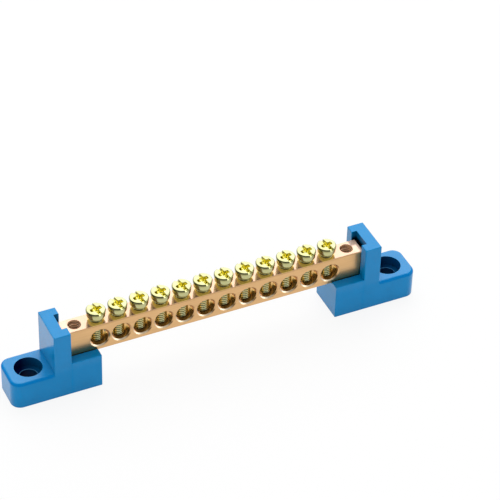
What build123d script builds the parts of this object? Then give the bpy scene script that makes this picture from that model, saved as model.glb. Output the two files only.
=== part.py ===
"""Neutral terminal bar: a cross-drilled brass bar with twelve clamp screws on two moulded corner holders.

Millimetres, +Z up. X runs along the bar, the wires enter from -Y, and the origin lies on the mounting plane under
the middle of the bar.
"""
import os
from math import sqrt

from build123d import *

# Ways of the bar: the pitch follows from the wire hole and the web left between two of them
way_count = 12
wire_hole_diameter = 5.5
wire_hole_web = 1.0
wire_hole_chamfer = 0.35

# Bar section: its height is floor, wire hole and threaded roof
bar_width = 6.0
wire_hole_floor = 1.5
threaded_roof = 2.0
bar_edge_break = 0.25
bar_end_length = 4.0
end_hole_chamfer = 0.1

# Threads, as smooth cylinders at the mean of crest and root
thread_diameter = 3.6
thread_clearance = 0.05

# Clamp screws: a head that narrows downwards, on a shank with a chamfered point
head_gap = 0.8
head_height = 2.7
head_foot_inset = 0.25
head_rim_radius = 0.25
head_foot_radius = 0.75
head_lift = 0.9
point_diameter = 2.4
point_clearance = 0.12

# Combined slot and cross recess in the clamp screw's head
slot_width = 1.05
slot_depth = 0.65
cross_span = 3.5
cross_width = 1.05
cross_depth = 1.5
cross_taper = 10.0
slot_turn = 10.0

# Corner holders
holder_depth = 12.4
shelf_height = 11.1
shelf_length = 9.0
seat_depth = 0.6
bar_side_clearance = 0.25
bar_end_gap = 0.85
end_slot_depth = 1.6
post_back_wall = 3.5
post_rise = 2.6
post_edge_radius = 0.25
foot_length = 12.4
foot_height = 8.6
foot_corner_radius = 3.0
foot_edge_radius = 0.9

# Mounting hole in each foot
mount_setback = 5.65
mount_hole_diameter = 5.2
mount_head_diameter = 8.1
mount_head_depth = 3.2

# Fixing screws, from under the shelf up into the end holes of the bar
fixing_seat_height = 4.5
fixing_head_diameter = 7.0
fixing_head_height = 2.4
fixing_head_rim_radius = 0.4
fixing_head_clearance = 0.3
fixing_shank_clearance = 0.35
fixing_engagement = 4.0
fixing_point_chamfer = 0.5
fixing_slot_width = 1.0
fixing_slot_depth = 1.0

# Worked out along the bar
way_pitch = wire_hole_diameter + wire_hole_web
fixing_x = (way_count + 1) / 2 * way_pitch
bar_length = 2 * (fixing_x + bar_end_length)
slot_floor_x = bar_length / 2 + bar_end_gap
post_inner_x = slot_floor_x - end_slot_depth
post_outer_x = slot_floor_x + post_back_wall
shelf_end_x = post_inner_x - shelf_length
foot_end_x = post_outer_x + foot_length
mount_x = post_outer_x + mount_setback

# Worked out upwards from the mounting plane
bar_height = wire_hole_floor + wire_hole_diameter + threaded_roof
bar_bottom = shelf_height - seat_depth
bar_top = bar_bottom + bar_height
wire_hole_radius = wire_hole_diameter / 2
wire_hole_z = bar_bottom + wire_hole_floor + wire_hole_radius
post_height = bar_top + post_rise

# Worked out for the screws
screw_radius = thread_diameter / 2
tapped_radius = screw_radius + thread_clearance
point_radius = point_diameter / 2
point_z = wire_hole_z - sqrt(wire_hole_radius**2 - point_radius**2) + point_clearance
head_radius = (way_pitch - head_gap) / 2
head_foot = head_radius - head_foot_inset
head_bottom = bar_top + head_lift
head_top = head_bottom + head_height
fixing_head_radius = fixing_head_diameter / 2
fixing_head_bottom = fixing_seat_height - fixing_head_height
fixing_point_z = bar_bottom + fixing_engagement

os.makedirs("parts", exist_ok=True)

# Terminal bar: drawn section along X
with BuildPart() as terminal_bar:
    with BuildSketch(Plane.YZ) as bar_section:
        with Locations((0, bar_bottom + bar_height / 2)):
            Rectangle(bar_width, bar_height)
        chamfer(bar_section.vertices(), bar_edge_break)
    extrude(amount=bar_length / 2, both=True)

    # Wire holes, right through, with a chamfered mouth on the front and on the back
    front_face = Plane(origin=(0, -bar_width / 2, wire_hole_z), x_dir=(1, 0, 0), z_dir=(0, -1, 0))
    back_face = Plane(origin=(0, bar_width / 2, wire_hole_z), x_dir=(1, 0, 0), z_dir=(0, 1, 0))
    for wire_face in (front_face, back_face):
        with Locations(wire_face):
            with GridLocations(way_pitch, way_pitch, way_count, 1):
                CounterSinkHole(
                    wire_hole_radius,
                    wire_hole_radius + wire_hole_chamfer,
                    depth=bar_width,
                    counter_sink_angle=90,
                )

    # Tapped holes for the clamp screws, from the top into the wire holes
    with BuildSketch(Plane.XY.offset(bar_top)):
        with GridLocations(way_pitch, way_pitch, way_count, 1):
            Circle(tapped_radius)
    extrude(amount=wire_hole_z - bar_top, mode=Mode.SUBTRACT)

    # Tapped end holes, right through, broken at the top edge
    with Locations((-fixing_x, 0, bar_top), (fixing_x, 0, bar_top)):
        CounterSinkHole(
            tapped_radius, tapped_radius + end_hole_chamfer, depth=bar_height, counter_sink_angle=90
        )

terminal_bar.part.label = "terminal_bar"
export_step(terminal_bar.part, "parts/terminal_bar.step")

# Clamp screw on the Z axis: turned body first
with BuildPart() as clamp_screw:
    with BuildSketch(Plane.XZ) as screw_profile:
        with BuildLine():
            Polyline(
                (0, point_z),
                (point_radius, point_z),
                (screw_radius, point_z + screw_radius - point_radius),
                (screw_radius, head_bottom),
                (head_foot, head_bottom),
                (head_radius, head_top),
                (0, head_top),
                close=True,
            )
        make_face()
        foot_corner = screw_profile.vertices().sort_by_distance((head_foot, head_bottom))[0]
        fillet(foot_corner, head_foot_radius)
        rim_corner = screw_profile.vertices().sort_by_distance((head_radius, head_top))[0]
        fillet(rim_corner, head_rim_radius)
    revolve(axis=Axis.Z)

    # Slot right across the head, and a cross recess that narrows downwards
    with BuildSketch(Plane.XY.offset(head_top)):
        Rectangle(slot_width, 2 * head_radius, rotation=slot_turn)
    extrude(amount=-slot_depth, mode=Mode.SUBTRACT)
    with BuildSketch(Plane.XY.offset(head_top)):
        Rectangle(cross_width, cross_span, rotation=slot_turn)
        Rectangle(cross_span, cross_width, rotation=slot_turn)
    extrude(amount=-cross_depth, taper=cross_taper, mode=Mode.SUBTRACT)

# One clamp screw over each wire hole, numbered from the left
for way in range(way_count):
    screw_name = f"clamp_screw_{way + 1:02d}"
    with BuildPart() as placed_screw:
        with Locations(((way - (way_count - 1) / 2) * way_pitch, 0, 0)):
            add(clamp_screw.part)
    placed_screw.part.label = screw_name
    export_step(placed_screw.part, f"parts/{screw_name}.step")

# Right corner holder: foot with rounded outer corners and rounded top edges
with BuildPart() as holder_right:
    with BuildSketch() as foot_plan:
        with Locations(((post_inner_x + foot_end_x) / 2, 0)):
            Rectangle(foot_end_x - post_inner_x, holder_depth)
        fillet(foot_plan.vertices().group_by(Axis.X)[-1], foot_corner_radius)
    extrude(amount=foot_height)
    foot_top = holder_right.faces().sort_by(Axis.Z)[-1]
    fillet(foot_top.edges().sort_by(Axis.X)[1:], foot_edge_radius)

    # Post and shelf, as one side view across the whole depth
    with BuildSketch(Plane.XZ):
        with BuildLine():
            Polyline(
                (shelf_end_x, 0),
                (post_outer_x, 0),
                (post_outer_x, post_height),
                (post_inner_x, post_height),
                (post_inner_x, shelf_height),
                (shelf_end_x, shelf_height),
                close=True,
            )
        make_face()
    extrude(amount=holder_depth / 2, both=True)

    # Small roundings on the upright corners, the top of the post and the rim of the shelf
    upright = holder_right.edges().filter_by(Axis.Z)
    upright = upright.filter_by(lambda edge: edge.center().X < post_outer_x + post_edge_radius)
    post_rim = holder_right.edges().group_by(Axis.Z)[-1]
    shelf_middle = ((shelf_end_x + post_inner_x) / 2, 0, shelf_height)
    shelf_top = holder_right.faces().sort_by_distance(shelf_middle)[0]
    shelf_rim = shelf_top.edges().sort_by(Axis.X)[:-1]
    fillet(upright + post_rim + shelf_rim, post_edge_radius)

    # End slot in the post and shallow seat in the shelf: one channel that the bar drops into
    with BuildSketch(Plane.XY.offset(bar_bottom)):
        with Locations(((shelf_end_x + slot_floor_x) / 2, 0)):
            Rectangle(slot_floor_x - shelf_end_x, bar_width + 2 * bar_side_clearance)
    extrude(amount=post_height - bar_bottom, mode=Mode.SUBTRACT)

    # Mounting hole, with room for a sunk head
    with Locations((mount_x, 0, foot_height)):
        CounterBoreHole(
            mount_hole_diameter / 2, mount_head_diameter / 2, mount_head_depth, depth=foot_height
        )

    # Hole and recess for the fixing screw, from the underside
    with Locations(Plane(origin=(fixing_x, 0, 0), z_dir=(0, 0, -1))):
        CounterBoreHole(
            screw_radius + fixing_shank_clearance,
            fixing_head_radius + fixing_head_clearance,
            fixing_seat_height,
            depth=bar_bottom,
        )

holder_right.part.label = "holder_right"
export_step(holder_right.part, "parts/holder_right.step")

# Left corner holder: the same moulding, turned half a turn
with BuildPart() as holder_left:
    add(holder_right.part, rotation=(0, 0, 180))

holder_left.part.label = "holder_left"
export_step(holder_left.part, "parts/holder_left.step")

# Right fixing screw: its head bears up against the bottom of the recess
with BuildPart() as fixing_screw_right:
    with BuildSketch(Plane.XZ) as fixing_profile:
        with BuildLine():
            Polyline(
                (fixing_x, fixing_head_bottom),
                (fixing_x + fixing_head_radius, fixing_head_bottom),
                (fixing_x + fixing_head_radius, fixing_seat_height),
                (fixing_x + screw_radius, fixing_seat_height),
                (fixing_x + screw_radius, fixing_point_z - fixing_point_chamfer),
                (fixing_x + screw_radius - fixing_point_chamfer, fixing_point_z),
                (fixing_x, fixing_point_z),
                close=True,
            )
        make_face()
        outer_corners = fixing_profile.vertices().group_by(Axis.X)[-1]
        fillet(outer_corners.sort_by(Axis.Z)[0], fixing_head_rim_radius)
    revolve(axis=Axis((fixing_x, 0, 0), (0, 0, 1)))
    with BuildSketch(Plane.XY.offset(fixing_head_bottom)):
        with Locations((fixing_x, 0)):
            Rectangle(fixing_slot_width, fixing_head_diameter)
    extrude(amount=fixing_slot_depth, mode=Mode.SUBTRACT)

fixing_screw_right.part.label = "fixing_screw_right"
export_step(fixing_screw_right.part, "parts/fixing_screw_right.step")

# Left fixing screw
with BuildPart() as fixing_screw_left:
    add(fixing_screw_right.part, rotation=(0, 0, 180))

fixing_screw_left.part.label = "fixing_screw_left"
export_step(fixing_screw_left.part, "parts/fixing_screw_left.step")
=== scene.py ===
"""Looks of the neutral terminal bar: drawn brass, zinc-plated screws with threads, blue moulded holders.

Metres, +Z up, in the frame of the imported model. Sizes written with mm are the real ones in millimetres.
"""

import math

import bmesh
import bpy
import numpy as np
from mathutils import Matrix, Vector


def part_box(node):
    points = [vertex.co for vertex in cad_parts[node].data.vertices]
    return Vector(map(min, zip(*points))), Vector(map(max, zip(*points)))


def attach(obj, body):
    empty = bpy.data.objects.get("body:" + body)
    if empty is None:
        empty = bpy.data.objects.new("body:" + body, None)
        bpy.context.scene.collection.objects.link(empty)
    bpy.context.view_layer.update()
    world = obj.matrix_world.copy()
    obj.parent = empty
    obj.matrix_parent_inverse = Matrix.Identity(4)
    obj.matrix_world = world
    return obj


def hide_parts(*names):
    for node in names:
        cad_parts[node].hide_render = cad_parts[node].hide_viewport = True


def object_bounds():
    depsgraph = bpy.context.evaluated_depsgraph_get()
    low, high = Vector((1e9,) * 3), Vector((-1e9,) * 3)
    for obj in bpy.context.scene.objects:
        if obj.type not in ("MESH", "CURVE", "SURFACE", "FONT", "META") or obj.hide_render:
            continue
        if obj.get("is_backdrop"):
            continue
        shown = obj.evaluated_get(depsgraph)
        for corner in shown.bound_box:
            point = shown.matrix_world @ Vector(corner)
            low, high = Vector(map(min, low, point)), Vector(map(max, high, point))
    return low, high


mm = 0.001

# Camera, as fitted to the photograph: it looks down along the bar from the left front
view_azimuth = math.radians(-25.914)
view_elevation = math.radians(39.708)
view_roll = math.radians(-1.831)
view_distance = 688.03 * mm
view_right = 10.979 * mm
view_up = 25.130 * mm
lens_length = 171.46
sensor_width = 36.0

# Clamp screw: head that narrows downwards, on a threaded shank
head_lift = 0.9 * mm
head_rim = 2.85 * mm
head_foot = 2.6 * mm
head_rim_radius = 0.48 * mm
head_foot_radius = 0.75 * mm
head_grain = 0.085 * mm
neck_bury = 0.3 * mm

# Combined recess in the clamp screw's head
slot_turn = math.radians(10.0)
slot_half_width = 0.525 * mm
slot_depth = 0.65 * mm
cross_reach = 1.75 * mm
cross_half_width = 0.6 * mm
cross_depth = 1.5 * mm
cross_end_slope = 0.45
cross_side_slope = 0.2
cross_floor_slope = 0.35
recess_edge_radius = 0.09 * mm
recess_corner_radius = 0.35 * mm

# Threads of the clamp screws; crest and root are radii
thread_pitch = 0.7 * mm
thread_crest = 1.84 * mm
thread_root = 1.42 * mm
thread_crest_share = 0.14
thread_root_share = 0.16
thread_roundness = 0.35
point_radius = 1.2 * mm
point_chamfer = 0.6 * mm
rows_per_turn = 14
steps_per_turn = 56
spare_turns = 2
screw_crease = 50

# Thread cut in the open end holes of the bar
hole_thread_crest = 1.6 * mm
hole_wall = 1.85 * mm
hole_bury = 0.03 * mm
hole_thread_top_gap = 0.3 * mm
hole_thread_bottom_gap = 0.25 * mm
hole_thread_half_width = 0.3 * mm
hole_thread_crest_half_width = 0.08 * mm
hole_thread_runout = 0.6
hole_thread_crease = 30

# How surfaces are settled, and what counts as one spot or as flat
settle_step = 0.004 * mm
settle_rounds = 4
least_slope = 0.2
same_spot = 0.002 * mm
sliver_length = 0.001 * mm
flat_tolerance = 0.0005 * mm

# Mounting foot of each holder, and where its painted shade and painted highlights change
mount_x = 56.25 * mm
foot_height = 8.6 * mm
foot_flat_edge = foot_height - 0.12 * mm
foot_flat_fade = 0.09 * mm
recess_radius = 4.09 * mm
recess_skin = 0.05 * mm
recess_light_start = 1.0 * mm
ledge_height = 5.4 * mm
hole_rim_radius = 2.76 * mm

# Channel for the bar in each holder, for the painted shade inside its closed end
channel_half_width = 3.26 * mm

# Bar: height of its wire holes, and how far out its end holes and the painted light on its ends begin
wire_hole_lift = 4.25 * mm
end_hole_zone = 39.0 * mm
lit_end_zone = 43.6 * mm

# Floor
floor_size = 6.0
floor_drop = 0.02 * mm
floor_white_share = 0.88
floor_grey = (0.80, 0.80, 0.80)
floor_pale = (0.82, 0.82, 0.82)

# World: the side that mirrors see dark, and how far towards it the light falls off
left_front = (-0.707, -0.707, 0.0)
darkens_from = -0.05
darkens_to = 0.15

# Colours of the moulded plastic
moulding_blue = (0.001, 0.222, 0.520)
moulding_pale = (0.001, 0.236, 0.552)
# Painted shade on the rounding along the top of each foot
rounding_shade_blue = (0.001, 0.195, 0.530)
# Painted shade in the mounting recesses, lighter towards +X, and a painted highlight on the rim of each
# hole
recess_shade_dark = (0.001, 0.004, 0.050)
recess_lit_side = (0.001, 0.090, 0.230)
recess_rim_highlight = (0.060, 0.220, 0.420)
# Painted shade in the slots that the bar's ends stand in, darkest low down
slot_shade_blue = (0.001, 0.110, 0.270)
slot_deep_shade = (0.001, 0.006, 0.014)

# Colours of the brass
brass_deep = (0.730, 0.435, 0.180)
brass_pale = (0.780, 0.470, 0.205)
brass_streak = (0.700, 0.410, 0.165)
# Painted sheen: the top of the bar is paler and less saturated
brass_top_sheen = (0.700, 0.435, 0.295)
# Painted shade and light inside the bores: deeper gold in the wire holes, paler in the end holes
wire_hole_shade_gold = (0.780, 0.430, 0.100)
end_hole_painted_light = (0.900, 0.620, 0.380)
# Painted highlight on the lower left of each wire hole's chamfer
brass_mouth = (1.000, 0.820, 0.580)
# Painted light on the top of the bar near each holder's post
brass_lit_end = (0.860, 0.600, 0.440)
# Painted reflection of each clamp screw's head on the top of the bar
head_reflection_gold = (0.910, 0.620, 0.130)
# Painted highlight on the crests of the cut thread and painted shade at its root
thread_crest_highlight = (1.0, 0.72, 0.48)
thread_crest_warm_highlight = (0.95, 0.62, 0.38)
thread_root_shade = (0.16, 0.05, 0.02)

# Colours of the zinc plating
yellow_pale = (0.54, 0.56, 0.31)
yellow_warm = (0.54, 0.51, 0.23)
# Painted light in the screw's recess, and painted shade in its wings
recess_bounce_gold = (0.98, 0.89, 0.18)
wing_shade = (0.09, 0.085, 0.004)
# Painted shade on the rim of the screw head
rim_shade = (0.24, 0.23, 0.10)
# Painted highlight on the shank and painted shade in its thread grooves
shank_highlight = (0.82, 0.84, 0.56)
groove_shade = (0.15, 0.15, 0.05)
white_pale = (0.55, 0.57, 0.60)
white_warm = (0.50, 0.52, 0.53)

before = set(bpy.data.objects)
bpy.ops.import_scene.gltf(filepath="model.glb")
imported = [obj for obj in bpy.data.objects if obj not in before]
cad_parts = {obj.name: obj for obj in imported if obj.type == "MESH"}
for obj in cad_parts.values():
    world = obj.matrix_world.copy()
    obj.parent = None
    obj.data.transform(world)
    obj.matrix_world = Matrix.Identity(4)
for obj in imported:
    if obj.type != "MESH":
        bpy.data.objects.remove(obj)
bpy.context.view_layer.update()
bar_low, bar_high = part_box("terminal_bar")
bar_body = "bar_on_holders"
way_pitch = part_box("clamp_screw_02")[0].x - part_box("clamp_screw_01")[0].x
wire_hole_z = bar_low.z + wire_hole_lift
head_bottom = bar_high.z + head_lift
screw_nodes = sorted(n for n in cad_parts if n.startswith("clamp_screw_"))


def rounded_max(a, b, radius):
    """Intersection of two distance fields, with its outer edge rounded."""
    corner = np.hypot(np.maximum(a + radius, 0.0), np.maximum(b + radius, 0.0))
    return np.minimum(np.maximum(a, b), -radius) + corner


def rounded_min(a, b, radius):
    """Union of two distance fields, with its inner corner rounded."""
    return -rounded_max(-a, -b, radius)


def head_field(points, head_height):
    """Signed distance to the clamp screw's head, whose underside is at z = 0."""
    x, y, z = points[..., 0], points[..., 1], points[..., 2]
    radius = np.hypot(x, y)
    flare = (head_rim - head_foot) / head_height
    side = (radius - head_foot - flare * z) / math.hypot(1.0, flare)
    body = rounded_max(side, z - head_height, head_rim_radius)
    body = rounded_max(body, -z, head_foot_radius)

    cosine, sine = math.cos(slot_turn), math.sin(slot_turn)
    across = x * cosine + y * sine
    along = y * cosine - x * sine
    depth = head_height - z

    slot = rounded_max(np.abs(across) - slot_half_width, depth - slot_depth, recess_edge_radius)

    wing_wall = cross_half_width - cross_side_slope * depth
    wing_end = (radius - cross_reach + cross_end_slope * depth) / math.hypot(1.0, cross_end_slope)
    arm_one = np.abs(across) - wing_wall
    arm_two = np.abs(along) - wing_wall
    cross = rounded_min(arm_one, arm_two, recess_corner_radius)
    cross = rounded_max(cross, wing_end, recess_edge_radius)
    floor = (depth - cross_depth + cross_floor_slope * radius) / math.hypot(1.0, cross_floor_slope)
    cross = rounded_max(cross, floor, recess_edge_radius)

    recess = rounded_min(slot, cross, recess_edge_radius)
    return rounded_max(body, -recess, recess_edge_radius)


def settle(points, field):
    """Moves points onto the zero surface of a distance field."""
    for _ in range(settle_rounds):
        slopes = []
        for axis in np.eye(3):
            ahead = field(points + settle_step * axis)
            behind = field(points - settle_step * axis)
            slopes.append((ahead - behind) / (2 * settle_step))
        slope = np.stack(slopes, axis=-1)
        scale = field(points) / np.maximum((slope ** 2).sum(-1), least_slope)
        points = points - slope * scale[:, None]
    return points


def step_ends(values, axis):
    """Values at the lower and at the upper end of every grid step along an axis."""
    count = values.shape[axis]
    lower = np.take(values, range(count - 1), axis)
    upper = np.take(values, range(1, count), axis)
    return lower, upper


def surface_crossings(values, grid, cells, grain):
    """Sum and number, for each grid cell, of the points where the zero surface crosses its edges."""
    total = np.zeros((*cells, 3))
    crossings = np.zeros(cells)
    for axis in range(3):
        lower, upper = step_ends(values, axis)
        crossed = (lower < 0) != (upper < 0)
        share = np.where(crossed, lower / np.where(crossed, lower - upper, 1.0), 0.0)
        start, _ = step_ends(grid, axis)
        point = start + (share * grain)[..., None] * np.eye(3)[axis]

        # Each step is an edge of four cells
        others = [k for k in range(3) if k != axis]
        for first in (0, 1):
            for second in (0, 1):
                window = [slice(None)] * 3
                window[others[0]] = slice(first, first + cells[others[0]])
                window[others[1]] = slice(second, second + cells[others[1]])
                mask = crossed[tuple(window)]
                total += np.where(mask[..., None], point[tuple(window)], 0.0)
                crossings += mask
    return total, crossings


def surface_quads(inside, index):
    """One quad across every grid step that the surface crosses, between the four cells around it."""
    quads = []
    for axis in range(3):
        u, v = (axis + 1) % 3, (axis + 2) % 3
        lower, upper = step_ends(inside, axis)
        for leaving in (True, False):
            spots = np.argwhere((lower != upper) & (lower == leaving))
            around = []
            for du, dv in ((-1, -1), (0, -1), (0, 0), (-1, 0)):
                cell = spots.copy()
                cell[:, u] += du
                cell[:, v] += dv
                around.append(index[tuple(cell.T)])
            if not leaving:
                around.reverse()
            quads.append(np.stack(around, axis=-1))
    return np.concatenate(quads)


def field_surface(field, low, high, grain):
    """Vertices and quads on the zero surface of a distance field, one vertex per crossed grid cell."""
    counts = np.ceil((np.array(high) - low) / grain).astype(int) + 1
    axes = [low[k] + grain * np.arange(counts[k]) for k in range(3)]
    grid = np.stack(np.meshgrid(*axes, indexing="ij"), axis=-1)
    values = field(grid)

    cells = counts - 1
    total, crossings = surface_crossings(values, grid, cells, grain)
    active = crossings > 0
    index = np.full(cells, -1)
    index[active] = np.arange(active.sum())
    vertices = settle(total[active] / crossings[active][:, None], field)
    return vertices, surface_quads(values < 0, index)


def thread_share(phase):
    """Height of a thread over its root at a phase of 0 to 1, as a share of its depth."""
    away = np.abs(2.0 * (phase % 1.0) - 1.0)
    rise = (away - thread_root_share) / (1.0 - thread_root_share - thread_crest_share)
    share = np.clip(rise, 0.0, 1.0)
    rounded = share * share * (3.0 - 2.0 * share)
    return rounded * thread_roundness + share * (1.0 - thread_roundness)


def threaded_shank(z_low, z_high):
    """Closed threaded rod along Z with a chamfered flat point, its rows of faces laid along the helix."""
    rows = math.ceil((z_high - z_low) / thread_pitch + spare_turns) * rows_per_turn
    row, column = np.meshgrid(np.arange(rows + rows_per_turn), np.arange(steps_per_turn), indexing="ij")
    turn = column / steps_per_turn
    height = z_low + (row / rows_per_turn + turn - 1.0) * thread_pitch
    radius = thread_root + (thread_crest - thread_root) * thread_share(row / rows_per_turn)
    height = np.clip(height, z_low, z_high)
    cone = point_radius + (height - z_low) * (thread_crest - point_radius) / point_chamfer
    radius = np.minimum(radius, cone)
    angle = 2.0 * math.pi * turn
    vertices = np.stack([radius * np.cos(angle), radius * np.sin(angle), height], axis=-1)

    def spot(r, c):
        """Number of a vertex. The last column meets the first one, a turn higher."""
        if c < steps_per_turn:
            return r * steps_per_turn + c
        return (r + rows_per_turn) * steps_per_turn

    faces = [
        (spot(r, c), spot(r, c + 1), spot(r + 1, c + 1), spot(r + 1, c))
        for r in range(rows - 1)
        for c in range(steps_per_turn)
    ]
    return vertices.reshape(-1, 3), faces


def new_object(name, data):
    """New object in the scene, with a mesh, lamp or camera as its data."""
    made = bpy.data.objects.new(name, data)
    bpy.context.scene.collection.objects.link(made)
    return made


def mesh_from(name, vertices, faces):
    """Mesh of a list of places and a list of faces."""
    mesh = bpy.data.meshes.new(name)
    mesh.from_pydata([tuple(v) for v in vertices], [], [tuple(int(k) for k in f) for f in faces])
    mesh.update()
    return mesh


def close_ends(mesh, z_low, z_high):
    """Merges what the clipped helix left flat at both ends, and closes each end with one face."""
    work = bmesh.new()
    work.from_mesh(mesh)
    bmesh.ops.remove_doubles(work, verts=work.verts, dist=same_spot)
    bmesh.ops.dissolve_degenerate(work, edges=work.edges, dist=sliver_length)
    for level in (z_low, z_high):
        flat = [f for f in work.faces if all(abs(v.co.z - level) < flat_tolerance for v in f.verts)]
        bmesh.ops.delete(work, geom=flat, context="FACES")
    loose = [v for v in work.verts if not v.link_faces]
    bmesh.ops.delete(work, geom=loose, context="VERTS")
    rim = [e for e in work.edges if e.is_boundary]
    bmesh.ops.edgeloop_fill(work, edges=rim)
    bmesh.ops.recalc_face_normals(work, faces=work.faces)
    work.to_mesh(mesh)
    work.free()


def apply_modifiers(obj):
    """Gives an object the mesh that its modifiers make."""
    bpy.context.view_layer.update()
    evaluated = obj.evaluated_get(bpy.context.evaluated_depsgraph_get())
    mesh = bpy.data.meshes.new_from_object(evaluated)
    obj.modifiers.clear()
    obj.data = mesh


def smooth(mesh, angle):
    """Smooth shading, with creases where faces meet at more than an angle in degrees."""
    mesh.polygons.foreach_set("use_smooth", [True] * len(mesh.polygons))
    mesh.set_sharp_from_angle(angle=math.radians(angle))


def clamp_screw_mesh(node):
    """Mesh of one clamp screw on the Z axis, at the height of that CAD node."""
    low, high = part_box(node)
    head_height = high.z - head_bottom
    margin = 2 * head_grain

    def field(points):
        return head_field(points, head_height)

    reach = head_rim + margin
    vertices, quads = field_surface(
        field, (-reach, -reach, -margin), (reach, reach, head_height + margin), head_grain
    )
    head = new_object("screw_head_work", mesh_from("screw_head", vertices + [0, 0, head_bottom], quads))

    neck_top = head_bottom + neck_bury
    shank_mesh = mesh_from("screw_shank", *threaded_shank(low.z, neck_top))
    close_ends(shank_mesh, low.z, neck_top)
    shank = new_object("screw_shank_work", shank_mesh)

    join = head.modifiers.new("join", "BOOLEAN")
    join.operation = "UNION"
    join.solver = "EXACT"
    join.object = shank
    apply_modifiers(head)
    mesh = head.data
    mesh.name = "clamp_screw"
    smooth(mesh, screw_crease)
    bpy.data.objects.remove(head)
    bpy.data.objects.remove(shank)
    return mesh


def hole_thread_mesh(z_low, z_high):
    """Closed helical ridge that stands in from the wall of a tapped hole on the Z axis."""
    steps = int((z_high - z_low) / thread_pitch * steps_per_turn)
    vertices = []
    faces = []
    for k in range(steps + 1):
        angle = 2.0 * math.pi * k / steps_per_turn
        height = z_low + k / steps * (z_high - z_low)
        from_end = min(k, steps - k) / steps_per_turn
        grown = min(1.0, from_end / hole_thread_runout)
        crest = hole_wall - (hole_wall - hole_thread_crest) * grown
        for radius, rise in (
            (hole_wall + hole_bury, -hole_thread_half_width),
            (crest, -hole_thread_crest_half_width),
            (crest, hole_thread_crest_half_width),
            (hole_wall + hole_bury, hole_thread_half_width),
        ):
            vertices.append((radius * math.cos(angle), radius * math.sin(angle), height + rise))
    for k in range(steps):
        a, b = 4 * k, 4 * (k + 1)
        for side in range(4):
            after = (side + 1) % 4
            faces.append((a + side, a + after, b + after, b + side))
    faces.append((3, 2, 1, 0))
    faces.append(tuple(4 * steps + side for side in range(4)))
    mesh = mesh_from("hole_thread", vertices, faces)
    work = bmesh.new()
    work.from_mesh(mesh)
    bmesh.ops.recalc_face_normals(work, faces=work.faces)
    work.to_mesh(mesh)
    work.free()
    smooth(mesh, hole_thread_crease)
    return mesh


def new_material(name):
    """New material, its node tree and its main shader."""
    material = bpy.data.materials.new(name)
    material.use_nodes = True
    tree = material.node_tree
    return material, tree, tree.nodes["Principled BSDF"]


def object_coordinates(tree, stretch=(1.0, 1.0, 1.0)):
    """Object coordinates in metres, stretched per axis."""
    coordinates = tree.nodes.new("ShaderNodeTexCoord")
    mapping = tree.nodes.new("ShaderNodeMapping")
    mapping.inputs["Scale"].default_value = stretch
    tree.links.new(coordinates.outputs["Object"], mapping.inputs["Vector"])
    return mapping.outputs["Vector"]


def axes_of(tree, place):
    """X, Y and Z of a place."""
    apart = tree.nodes.new("ShaderNodeSeparateXYZ")
    tree.links.new(place, apart.inputs["Vector"])
    return apart.outputs["X"], apart.outputs["Y"], apart.outputs["Z"]


def noise(tree, place, scale, detail=3.0, roughness=0.5):
    """Soft uneven pattern of 0 to 1, with a number of patches per metre."""
    texture = tree.nodes.new("ShaderNodeTexNoise")
    texture.inputs["Scale"].default_value = scale
    texture.inputs["Detail"].default_value = detail
    texture.inputs["Roughness"].default_value = roughness
    tree.links.new(place, texture.inputs["Vector"])
    return texture.outputs["Fac"]


def spread(tree, value, low, high, from_low=0.3, from_high=0.7):
    """Maps a value onto a range. It comes in within the usual range of a noise, or the one given."""
    node = tree.nodes.new("ShaderNodeMapRange")
    node.inputs["From Min"].default_value = from_low
    node.inputs["From Max"].default_value = from_high
    node.inputs["To Min"].default_value = low
    node.inputs["To Max"].default_value = high
    tree.links.new(value, node.inputs["Value"])
    return node.outputs["Result"]


def rising(tree, value, edge, fade):
    """Share that is 0 up to an edge and grows to 1 over the length of a fade."""
    return spread(tree, value, 0.0, 1.0, edge, edge + fade)


def falling(tree, value, edge, fade):
    """Share that is 1 up to an edge and drops to 0 over the length of a fade."""
    return spread(tree, value, 1.0, 0.0, edge, edge + fade)


def factor(tree, share, inside):
    """Factor that is 1 where a share is 0, and the given one where the share is 1."""
    return spread(tree, share, 1.0, inside, 0.0, 1.0)


def calculate(tree, operation, first, second=None):
    """One Math node; each value is a number or another node's output."""
    step = tree.nodes.new("ShaderNodeMath")
    step.operation = operation
    for socket, value in zip(step.inputs, (first, second)):
        if value is None:
            continue
        if isinstance(value, float):
            socket.default_value = value
        else:
            tree.links.new(value, socket)
    return step.outputs["Value"]


def product(tree, first, *others):
    """All values multiplied."""
    for other in others:
        first = calculate(tree, "MULTIPLY", first, other)
    return first


def sum_of_squares(tree, first, second):
    """Square of a distance, from its two parts."""
    first_square = product(tree, first, first)
    second_square = product(tree, second, second)
    return calculate(tree, "ADD", first_square, second_square)


def blend_colours(tree, share, first, second):
    """Mix of two colours, each a plain colour or another node's output."""
    mix = tree.nodes.new("ShaderNodeMix")
    mix.data_type = "RGBA"
    tree.links.new(share, mix.inputs["Factor"])
    for socket, colour in ((mix.inputs[6], first), (mix.inputs[7], second)):
        if isinstance(colour, tuple):
            socket.default_value = (*colour, 1.0)
        else:
            tree.links.new(colour, socket)
    return mix.outputs[2]


def bump(tree, height, distance, strength, under=None):
    """Fine relief from a pattern of heights, laid over another relief if there is one."""
    node = tree.nodes.new("ShaderNodeBump")
    node.inputs["Strength"].default_value = strength
    node.inputs["Distance"].default_value = distance
    tree.links.new(height, node.inputs["Height"])
    if under is not None:
        tree.links.new(under, node.inputs["Normal"])
    return node.outputs["Normal"]


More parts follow.
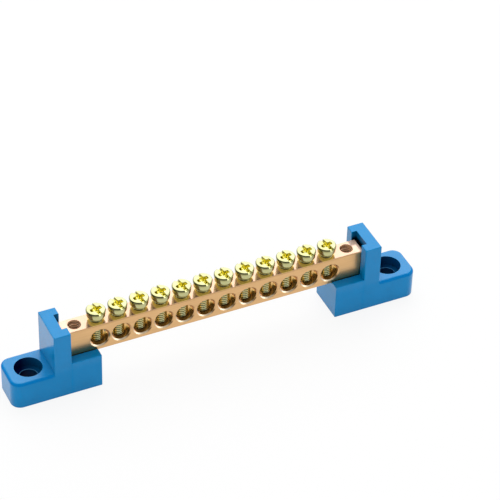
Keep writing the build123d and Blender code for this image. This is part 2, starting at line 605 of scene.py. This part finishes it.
def mounting_recess_shade(tree, x, y, z, off_mount):
    """Share of the inside of a mounting recess, and its colour: painted shade, lighter towards +X, with a
    painted highlight on the rim of the hole at the ledge.
    """
    off_square = sum_of_squares(tree, off_mount, y)
    in_recess = calculate(tree, "LESS_THAN", off_square, recess_radius ** 2)
    below_top = calculate(tree, "LESS_THAN", z, foot_height - recess_skin)
    above_underside = calculate(tree, "GREATER_THAN", z, recess_skin)
    recess = product(tree, in_recess, below_top, above_underside)

    rightwards = product(tree, off_mount, calculate(tree, "SIGN", x))
    lit_side = rising(tree, rightwards, -recess_light_start, recess_light_start + recess_radius)
    inside = blend_colours(tree, lit_side, recess_shade_dark, recess_lit_side)
    near_hole = calculate(tree, "LESS_THAN", off_square, hole_rim_radius ** 2)
    at_ledge = rising(tree, z, ledge_height - 0.2 * mm, 0.1 * mm)
    rim_highlight = product(tree, near_hole, at_ledge)
    return recess, blend_colours(tree, rim_highlight, inside, recess_rim_highlight)


def bar_end_slot_shade(tree, x_size, y_size, z):
    """Share of the slot that an end of the bar stands in, and its colour: painted shade, darker towards
    the bar.
    """
    in_channel = falling(tree, y_size, channel_half_width, 0.04 * mm)
    past_end = rising(tree, x_size, bar_high.x - 0.6 * mm, 0.2 * mm)
    before_floor = falling(tree, x_size, bar_high.x + 0.86 * mm, 0.04 * mm)
    above_seat = rising(tree, z, bar_low.z - 0.2 * mm, 0.1 * mm)
    end_slot = product(tree, in_channel, past_end, before_floor, above_seat)
    low_down = falling(tree, z, bar_high.z + 0.1 * mm, 1.0 * mm)
    return end_slot, blend_colours(tree, low_down, slot_shade_blue, slot_deep_shade)


def moulding_sheen(tree, x_size, y, z, past_post, sunk):
    """Strength of the plastic's mirror light: more at a slant and on the feet, less in hollows."""
    slant = tree.nodes.new("ShaderNodeLayerWeight")
    shine = spread(tree, slant.outputs["Facing"], low=0.31, high=0.60, from_low=0.38, from_high=0.66)
    duller = factor(tree, sunk, 0.2)
    over_foot = rising(tree, z, foot_height, 1.0 * mm)
    low_down = spread(tree, over_foot, low=0.65, high=1.0, from_low=0.0, from_high=1.0)

    past_shelf = rising(tree, x_size, bar_high.x - 1.0 * mm, 0.15 * mm)
    before_slot = falling(tree, x_size, bar_high.x - 0.65 * mm, 0.1 * mm)
    in_front = falling(tree, y, bar_low.y - 0.3 * mm, 0.1 * mm)
    beside_bar = factor(tree, product(tree, past_shelf, before_slot, in_front), 0.3)

    on_flat = rising(tree, z, foot_flat_edge, foot_flat_fade)
    at_foot_top = falling(tree, z, foot_height + 0.02 * mm, 0.08 * mm)
    foot_top = factor(tree, product(tree, on_flat, at_foot_top, past_post), 2.3)
    return product(tree, shine, duller, low_down, beside_bar, foot_top)


def blue_plastic():
    """Glossy moulded plastic: even blue with a faint orange peel, with painted shade on the top rounding
    of the feet, in the recesses and in the slots, and painted light on one side of each recess and at its
    hole rim.
    """
    material, tree, shader = new_material("blue_plastic_look")
    place = object_coordinates(tree)
    x, y, z = axes_of(tree, place)
    x_size = calculate(tree, "ABSOLUTE", x)
    y_size = calculate(tree, "ABSOLUTE", y)
    off_mount = calculate(tree, "SUBTRACT", x_size, mount_x)

    # Painted shade on the rounding along the top edge of each foot
    over_wall = rising(tree, z, foot_height - 0.95 * mm, 0.25 * mm)
    under_flat = falling(tree, z, foot_flat_edge, foot_flat_fade)
    past_post = rising(tree, off_mount, -5.6 * mm, 0.6 * mm)
    shaded_rounding = product(tree, over_wall, under_flat, past_post)
    recess, recess_shade_colour = mounting_recess_shade(tree, x, y, z, off_mount)
    end_slot, slot_shade_colour = bar_end_slot_shade(tree, x_size, y_size, z)

    tone = spread(tree, noise(tree, place, scale=260.0), 0.0, 1.0)
    colour = blend_colours(tree, tone, moulding_blue, moulding_pale)
    colour = blend_colours(tree, shaded_rounding, colour, rounding_shade_blue)
    colour = blend_colours(tree, recess, colour, recess_shade_colour)
    colour = blend_colours(tree, end_slot, colour, slot_shade_colour)
    tree.links.new(colour, shader.inputs["Base Color"])

    sunk = calculate(tree, "MAXIMUM", end_slot, recess)
    sunk = calculate(tree, "MAXIMUM", sunk, shaded_rounding)
    sheen = moulding_sheen(tree, x_size, y, z, past_post, sunk)
    tree.links.new(sheen, shader.inputs["Specular IOR Level"])
    gloss = spread(tree, noise(tree, place, scale=900.0, detail=4.0), low=0.17, high=0.25)
    tree.links.new(gloss, shader.inputs["Roughness"])
    shader.inputs["IOR"].default_value = 1.46

    peel = noise(tree, place, scale=1500.0, detail=2.0)
    grain = noise(tree, place, scale=9000.0, detail=2.0)
    relief = bump(tree, peel, distance=0.02 * mm, strength=0.25)
    relief = bump(tree, grain, distance=0.004 * mm, strength=0.2, under=relief)
    tree.links.new(relief, shader.inputs["Normal"])
    return material


def wire_hole_mouths(tree, x_size, y_size, z, off_hole):
    """Share of the lower left part of every wire hole's chamfer, where a highlight is painted."""
    near_side = rising(tree, y_size, bar_high.y - 0.38 * mm, 0.06 * mm)
    off_side = falling(tree, y_size, bar_high.y - 0.03 * mm, 0.02 * mm)
    under_edge = falling(tree, z, bar_high.z - 0.5 * mm, 0.1 * mm)
    over_edge = rising(tree, z, bar_low.z + 0.4 * mm, 0.1 * mm)
    off_end = falling(tree, x_size, bar_high.x - 0.2 * mm, 0.1 * mm)
    rightwards = product(tree, off_hole, 0.75)
    upwards = product(tree, calculate(tree, "SUBTRACT", z, wire_hole_z), 0.65)
    lower_left = falling(tree, calculate(tree, "ADD", rightwards, upwards), -0.9 * mm, 1.2 * mm)
    return product(tree, near_side, off_side, under_edge, over_edge, off_end, lower_left)


def head_reflection_patches(tree, y, off_hole):
    """Share of an oval patch under each clamp screw's head, which leans to the left in front: a painted
    reflection of the head.
    """
    leaning = calculate(tree, "SUBTRACT", off_hole, product(tree, y, 0.25))
    leaning_square = product(tree, leaning, leaning, 1.3)
    depth_square = product(tree, y, y, 0.55)
    off_patch = calculate(tree, "SQRT", calculate(tree, "ADD", leaning_square, depth_square))
    return falling(tree, off_patch, 2.5 * mm, 0.6 * mm)


def brass_places(tree, place):
    """Shares of the places where the bar changes its look."""
    x, y, z = axes_of(tree, place)
    x_size = calculate(tree, "ABSOLUTE", x)
    y_size = calculate(tree, "ABSOLUTE", y)
    in_pitch = calculate(tree, "FLOORED_MODULO", x, way_pitch)
    off_hole = calculate(tree, "SUBTRACT", in_pitch, way_pitch / 2)

    on_top = rising(tree, z, bar_high.z - 0.1 * mm, 0.08 * mm)
    above_bottom = rising(tree, z, bar_low.z + 0.1 * mm, 0.2 * mm)
    below_top = falling(tree, z, bar_high.z - 0.3 * mm, 0.2 * mm)
    behind_face = falling(tree, y_size, bar_high.y - 0.5 * mm, 0.14 * mm)
    at_end = rising(tree, x_size, end_hole_zone, 0.5 * mm)
    near_post = rising(tree, x_size, lit_end_zone, 1.0 * mm)
    reflection_patch = head_reflection_patches(tree, y, off_hole)
    at_side = rising(tree, y_size, bar_high.y - 0.25 * mm, 0.02 * mm)
    near_top = rising(tree, z, bar_high.z - 0.25 * mm, 0.02 * mm)
    return {
        "on_top": on_top,
        "drilled": product(tree, above_bottom, below_top, behind_face),
        "at_end": at_end,
        "mouth": wire_hole_mouths(tree, x_size, y_size, z, off_hole),
        "lit_end": product(tree, near_post, on_top),
        "head_reflection": product(tree, reflection_patch, on_top, factor(tree, at_end, 0.0)),
        "edge": product(tree, at_side, near_top),
    }


def drawn_brass():
    """Drawn brass: long fine lines along the bar and slight patches of tone, with a painted sheen on top,
    painted shade and light inside the bores, a painted highlight at each wire hole's mouth, painted light
    at the ends and a painted reflection under each screw head.
    """
    material, tree, shader = new_material("bar_brass_look")
    place = object_coordinates(tree)
    along = object_coordinates(tree, stretch=(0.03, 1.0, 1.0))
    at = brass_places(tree, place)

    tone = spread(tree, noise(tree, place, scale=140.0), 0.0, 1.0)
    streak = spread(tree, noise(tree, along, scale=2600.0, detail=4.0, roughness=0.6), 0.0, 1.0)
    drawn = blend_colours(tree, tone, brass_deep, brass_pale)
    drawn = blend_colours(tree, streak, drawn, brass_streak)
    # Painted sheen on the top face
    outside = blend_colours(tree, at["on_top"], drawn, brass_top_sheen)
    # Painted shade and light inside the bores
    inner = blend_colours(tree, at["at_end"], wire_hole_shade_gold, end_hole_painted_light)
    colour = blend_colours(tree, at["drilled"], outside, inner)
    colour = blend_colours(tree, at["mouth"], colour, brass_mouth)
    colour = blend_colours(tree, at["lit_end"], colour, brass_lit_end)
    colour = blend_colours(tree, at["head_reflection"], colour, head_reflection_gold)
    tree.links.new(colour, shader.inputs["Base Color"])

    metallic = factor(tree, at["edge"], 0.2)
    for share, less in (
        (at["on_top"], 0.22),
        (product(tree, at["drilled"], at["at_end"]), 0.5),
        (at["drilled"], 0.2),
        (at["mouth"], 0.5),
        (at["head_reflection"], 0.35),
        (at["lit_end"], 0.4),
    ):
        metallic = calculate(tree, "SUBTRACT", metallic, product(tree, share, less))
    tree.links.new(metallic, shader.inputs["Metallic"])
    shader.inputs["Coat Weight"].default_value = 0.6
    shader.inputs["Coat Roughness"].default_value = 0.15
    shader.inputs["Coat IOR"].default_value = 1.6

    polished = calculate(tree, "MAXIMUM", at["on_top"], at["drilled"])
    gloss = spread(tree, streak, low=0.28, high=0.38, from_low=0.0, from_high=1.0)
    gloss = product(tree, gloss, factor(tree, polished, 0.4))
    gloss = calculate(tree, "ADD", gloss, product(tree, at["edge"], 0.3))
    tree.links.new(gloss, shader.inputs["Roughness"])

    lines = noise(tree, along, scale=6000.0, detail=3.0, roughness=0.6)
    waves = noise(tree, place, scale=300.0, detail=2.0)
    relief = bump(tree, lines, distance=0.006 * mm, strength=0.35)
    relief = bump(tree, waves, distance=0.02 * mm, strength=0.12, under=relief)
    tree.links.new(relief, shader.inputs["Normal"])
    return material


def cut_thread_brass():
    """Thread cut in brass: a painted highlight at its crest, and painted shade, darker and redder,
    towards the root.
    """
    material, tree, shader = new_material("cut_thread_look")
    place = object_coordinates(tree)
    x, y, _ = axes_of(tree, place)
    off_axis = calculate(tree, "SQRT", sum_of_squares(tree, x, y))
    to_root = spread(tree, off_axis, 0.0, 1.0, hole_thread_crest + 0.06 * mm, hole_wall - 0.06 * mm)
    tone = spread(tree, noise(tree, place, scale=900.0), 0.0, 1.0)
    crest = blend_colours(tree, tone, thread_crest_highlight, thread_crest_warm_highlight)
    colour = blend_colours(tree, to_root, crest, thread_root_shade)
    tree.links.new(colour, shader.inputs["Base Color"])
    shader.inputs["Metallic"].default_value = 0.3
    shader.inputs["Roughness"].default_value = 0.35
    return material


def recess_tones(tree, x, y, z, off_axis, head_top, colour, bounce_gold):
    """Colour of a clamp screw with a gold painted into its recess for the light bouncing there, and
    painted shade in its left and front wings.
    """
    near = falling(tree, off_axis, 1.7 * mm, 0.4 * mm)
    sunk = falling(tree, z, head_top - 0.15 * mm, 0.1 * mm)
    above_foot = rising(tree, z, head_bottom, 0.3 * mm)
    inside = product(tree, near, sunk, above_foot)
    # Painted gold for the light bouncing in the recess, then painted shade in the wings
    colour = blend_colours(tree, inside, colour, bounce_gold)

    left_wing = falling(tree, x, -1.15 * mm, 0.2 * mm)
    front_wing = falling(tree, y, -0.95 * mm, 0.2 * mm)
    near_wings = calculate(tree, "MAXIMUM", left_wing, front_wing)
    deep = falling(tree, z, head_top - 0.4 * mm, 0.2 * mm)
    within = falling(tree, off_axis, 1.6 * mm, 0.15 * mm)
    shaded = product(tree, inside, near_wings, deep, within)
    return blend_colours(tree, shaded, colour, wing_shade)


def rim_tones(tree, x, y, z, off_axis, head_top, colour):
    """Colour of a clamp screw with a band of painted shade on the rim of its head, left open at the slot.
    """
    outer = rising(tree, off_axis, 2.45 * mm, 0.15 * mm)
    under_top = falling(tree, z, head_top - 0.16 * mm, 0.08 * mm)
    over_side = rising(tree, z, head_top - 0.8 * mm, 0.25 * mm)
    from_x = product(tree, x, math.cos(slot_turn))
    from_y = product(tree, y, math.sin(slot_turn))
    across = calculate(tree, "ABSOLUTE", calculate(tree, "ADD", from_x, from_y))
    off_slot = rising(tree, across, slot_half_width + 0.01 * mm, 0.04 * mm)
    rim = product(tree, outer, under_top, over_side, off_slot)
    return blend_colours(tree, rim, colour, rim_shade)


def shank_tones(tree, z, off_axis, colour):
    """Colour of a clamp screw with a painted highlight on its shank and painted shade in the thread
    grooves.
    """
    below_head = falling(tree, z, bar_high.z, head_lift)
    in_groove = falling(tree, off_axis, 1.55 * mm, 0.21 * mm)
    colour = blend_colours(tree, below_head, colour, shank_highlight)
    return blend_colours(tree, product(tree, below_head, in_groove), colour, groove_shade)


def zinc(name, pale, warm, roughness, bounce_gold=None):
    """Zinc plating: a thin film that drifts between two tones; the yellow screw also gets painted light
    and shade in its recess, on its rim and on its shank.
    """
    material, tree, shader = new_material(name)
    place = object_coordinates(tree)
    film = noise(tree, place, scale=420.0)
    film = spread(tree, film, low=0.0, high=1.0, from_low=0.35, from_high=0.65)
    colour = blend_colours(tree, film, pale, warm)
    shader.inputs["Metallic"].default_value = 1.0
    if bounce_gold:
        x, y, z = axes_of(tree, place)
        off_axis = calculate(tree, "SQRT", sum_of_squares(tree, x, y))
        head_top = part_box(screw_nodes[0])[1].z
        colour = recess_tones(tree, x, y, z, off_axis, head_top, colour, bounce_gold)
        colour = rim_tones(tree, x, y, z, off_axis, head_top, colour)
        colour = shank_tones(tree, z, off_axis, colour)
        over_bar = rising(tree, z, bar_high.z - 0.1 * mm, 0.1 * mm)
        under_foot = falling(tree, z, head_bottom, 0.3 * mm)
        neck = product(tree, over_bar, under_foot)
        tree.links.new(factor(tree, neck, 0.6), shader.inputs["Metallic"])
    tree.links.new(colour, shader.inputs["Base Color"])

    gloss = spread(tree, noise(tree, place, scale=2500.0, detail=4.0), roughness, roughness + 0.1)
    tree.links.new(gloss, shader.inputs["Roughness"])
    relief = bump(tree, noise(tree, place, scale=5000.0), distance=0.006 * mm, strength=0.3)
    tree.links.new(relief, shader.inputs["Normal"])
    return material


def floor_material():
    """Matt pale floor that takes a shadow. The camera, mirrors and clear things see it nearly white."""
    material, tree, shader = new_material("pale_floor")
    tone = spread(tree, noise(tree, object_coordinates(tree), scale=6.0), 0.0, 1.0)
    colour = blend_colours(tree, tone, floor_grey, floor_pale)
    tree.links.new(colour, shader.inputs["Base Color"])
    shader.inputs["Roughness"].default_value = 0.9
    shader.inputs["Specular IOR Level"].default_value = 0.0

    path = tree.nodes.new("ShaderNodeLightPath")
    seen = path.outputs["Is Camera Ray"]
    for ray in ("Is Glossy Ray", "Is Transmission Ray"):
        seen = calculate(tree, "MAXIMUM", seen, path.outputs[ray])
    share = spread(tree, seen, low=0.0, high=floor_white_share, from_low=0.0, from_high=1.0)
    white_light = tree.nodes.new("ShaderNodeEmission")
    mix = tree.nodes.new("ShaderNodeMixShader")
    tree.links.new(share, mix.inputs["Fac"])
    tree.links.new(shader.outputs["BSDF"], mix.inputs[1])
    tree.links.new(white_light.outputs["Emission"], mix.inputs[2])
    tree.links.new(mix.outputs["Shader"], tree.nodes["Material Output"].inputs["Surface"])
    return material


def dress(node_name, material):
    """Gives a CAD node its finished material."""
    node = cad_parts[node_name]
    for slot in node.material_slots:
        slot.material = material


def direction(azimuth, elevation):
    """Unit vector in radians: azimuth 0 points along -Y, a quarter turn along +X."""
    level = math.cos(elevation)
    return Vector((math.sin(azimuth) * level, -math.cos(azimuth) * level, math.sin(elevation)))


def soft_lamp(name, azimuth, elevation, distance, width, height, brightness, mirrored=True, diffuse=True):
    """Soft box that faces the part. Azimuth 0 is at -Y and 90 at +X; a brightness of 1 looks white."""
    lamp = bpy.data.lights.new(name, "AREA")
    lamp.shape = "RECTANGLE"
    lamp.size = width
    lamp.size_y = height
    lamp.energy = brightness * math.pi * width * height
    towards = direction(math.radians(azimuth), math.radians(elevation))
    made = new_object(name, lamp)
    made.location = towards * distance
    made.rotation_euler = (-towards).to_track_quat("-Z", "Y").to_euler()
    made.visible_camera = False
    made.visible_glossy = mirrored
    made.visible_diffuse = diffuse


def light_world(even, dark_side, bright_side):
    """Even world light. Mirrors see it dark on the left front, and the camera sees a white backdrop."""
    world = bpy.data.worlds.new("studio")
    bpy.context.scene.world = world
    world.use_nodes = True
    tree = world.node_tree
    background = tree.nodes["Background"]
    background.inputs["Color"].default_value = (1.0, 1.0, 1.0, 1.0)

    towards = tree.nodes.new("ShaderNodeTexCoord")
    to_left_front = tree.nodes.new("ShaderNodeVectorMath")
    to_left_front.operation = "DOT_PRODUCT"
    tree.links.new(towards.outputs["Generated"], to_left_front.inputs[0])
    to_left_front.inputs[1].default_value = left_front
    level = spread(
        tree, to_left_front.outputs["Value"], bright_side, dark_side, darkens_from, darkens_to
    )

    path = tree.nodes.new("ShaderNodeLightPath")
    for ray, seen_level in (("Is Diffuse Ray", even), ("Is Camera Ray", 1.0)):
        mix = tree.nodes.new("ShaderNodeMix")
        tree.links.new(path.outputs[ray], mix.inputs["Factor"])
        tree.links.new(level, mix.inputs["A"])
        mix.inputs["B"].default_value = seen_level
        level = mix.outputs["Result"]
    tree.links.new(level, background.inputs["Strength"])


def place_camera():
    """Camera at the place and angle that were fitted to the photograph."""
    back = direction(view_azimuth, view_elevation)
    level_right = Vector((math.cos(view_azimuth), math.sin(view_azimuth), 0.0))
    level_up = back.cross(level_right)
    right = level_right * math.cos(view_roll) - level_up * math.sin(view_roll)
    up = level_right * math.sin(view_roll) + level_up * math.cos(view_roll)
    camera = bpy.data.cameras.new("camera")
    camera.lens = lens_length
    camera.sensor_width = sensor_width
    camera.clip_start = 0.05
    camera.clip_end = 20.0
    made = new_object("camera", camera)
    place = right * view_right + up * view_up + back * view_distance
    axes = Matrix((right, up, back)).transposed().to_4x4()
    made.matrix_world = Matrix.Translation(place) @ axes
    bpy.context.scene.camera = made


# Materials, and the CAD nodes that are kept
blue = blue_plastic()
brass = drawn_brass()
cut_brass = cut_thread_brass()
yellow = zinc("yellow_zinc_look", yellow_pale, yellow_warm, 0.16, bounce_gold=recess_bounce_gold)
white = zinc("white_zinc_look", white_pale, white_warm, 0.2)
dress("holder_left", blue)
dress("holder_right", blue)
dress("terminal_bar", brass)
dress("fixing_screw_left", white)
dress("fixing_screw_right", white)

# Clamp screws with thread and recess, each in the place of its CAD node
screw_mesh = clamp_screw_mesh(screw_nodes[0])
screw_mesh.materials.append(yellow)
for node in screw_nodes:
    low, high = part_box(node)
    number = node[-2:]
    screw = new_object("threaded_" + node, screw_mesh)
    screw.location = ((low.x + high.x) / 2, (low.y + high.y) / 2, 0.0)
    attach(screw, "screw_" + number)
    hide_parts(node)

# Threads in the open end holes, above the points of the fixing screws
for side in ("left", "right"):
    low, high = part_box("fixing_screw_" + side)
    thread_low = high.z + hole_thread_bottom_gap + hole_thread_half_width
    thread_high = bar_high.z - hole_thread_top_gap - hole_thread_half_width
    thread = new_object(side + "_end_thread", hole_thread_mesh(thread_low, thread_high))
    thread.data.materials.append(cut_brass)
    thread.location = ((low.x + high.x) / 2, 0.0, 0.0)
    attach(thread, bar_body)

# Floor, lights and camera
floor_half = floor_size / 2
corner_signs = ((-1, -1), (1, -1), (1, 1), (-1, 1))
floor_vertices = [(x * floor_half, y * floor_half, -floor_drop) for x, y in corner_signs]
floor = new_object("floor", mesh_from("floor", floor_vertices, [(0, 1, 2, 3)]))
floor.data.materials.append(floor_material())
floor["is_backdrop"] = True

light_world(even=0.80, dark_side=0.14, bright_side=0.9)
soft_lamp(
    "back_lamp", azimuth=154.0, elevation=45.0, distance=1.2, width=1.1, height=1.3, brightness=1.25
)
soft_lamp(
    "upper_back_lamp", azimuth=165.0, elevation=52.0, distance=1.2, width=1.1, height=1.1, brightness=1.6,
    mirrored=False,
)
soft_lamp(
    "right_lamp", azimuth=66.0, elevation=14.0, distance=1.4, width=1.1, height=0.7, brightness=1.8,
    diffuse=False,
)

place_camera()
bpy.context.scene.view_settings.view_transform = "Standard"

low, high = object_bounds()
